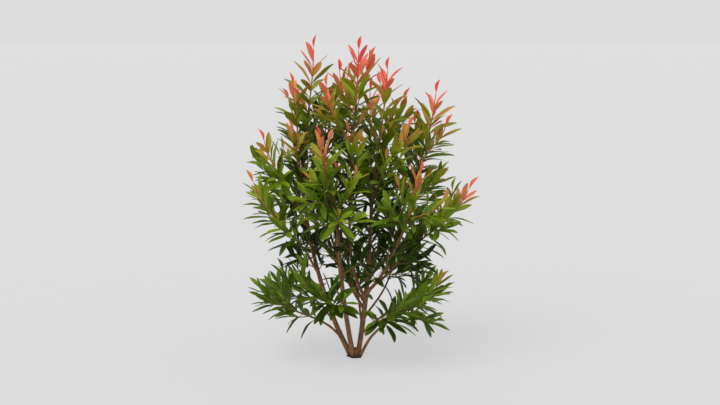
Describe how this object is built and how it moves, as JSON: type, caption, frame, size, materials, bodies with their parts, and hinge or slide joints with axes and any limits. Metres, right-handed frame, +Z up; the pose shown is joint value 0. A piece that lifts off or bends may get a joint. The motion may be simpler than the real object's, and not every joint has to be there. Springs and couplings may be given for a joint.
{
  "type": "syzygium myrtifolium shrub",
  "caption": "Bushy evergreen garden shrub with several stems from one root crown, opposite narrow leaves and red young shoot tips.",
  "frame": {"origin": "centre of the flat cut under the root crown, at ground level", "axes": "+Z up along the stems, +X to the right and -Y towards the viewer of the picture"},
  "size_m": [0.5784, 0.5279, 0.7999],
  "materials": {
    "bark": "rough grey-brown bark",
    "foliage": "smooth leathery green leaves",
    "young_foliage": "smooth soft red young leaves",
    "twig": "smooth red-brown young bark"
  },
  "bodies": {
    "root": {"bough_back_left": "bark", "bough_back_low": "bark", "bough_back_low_left": "bark", "bough_back_low_right": "bark", "bough_back_right": "bark", "bough_centre_left": "bark", "bough_left_high": "bark", "bough_left_low": "bark", "bough_left_near": "bark", "bough_left_outer": "bark", "bough_rear_left": "bark", "bough_right_front": "bark", "bough_right_mid": "bark", "bough_right_near": "bark", "bough_right_outer": "bark", "bough_right_rear": "bark", "front_left": "foliage", "front_right": "foliage", "left_high": "foliage", "left_outer": "foliage", "low_left": "foliage", "low_left_near": "foliage", "low_right": "foliage", "low_right_near": "foliage", "low_right_rear": "foliage", "rear_left": "foliage", "rear_left_high": "foliage", "rear_low": "foliage", "rear_low_left": "foliage", "rear_low_right": "foliage", "rear_mid": "foliage", "rear_right": "foliage", "right_high": "foliage", "right_outer": "foliage", "root_crown": "bark", "stem_front": "bark", "stem_left": "bark", "stem_low_right": "bark", "stem_rear": "bark", "stem_right": "bark", "top_centre": "foliage", "top_left": "foliage", "top_right": "foliage"}
  },
  "joints": []
}
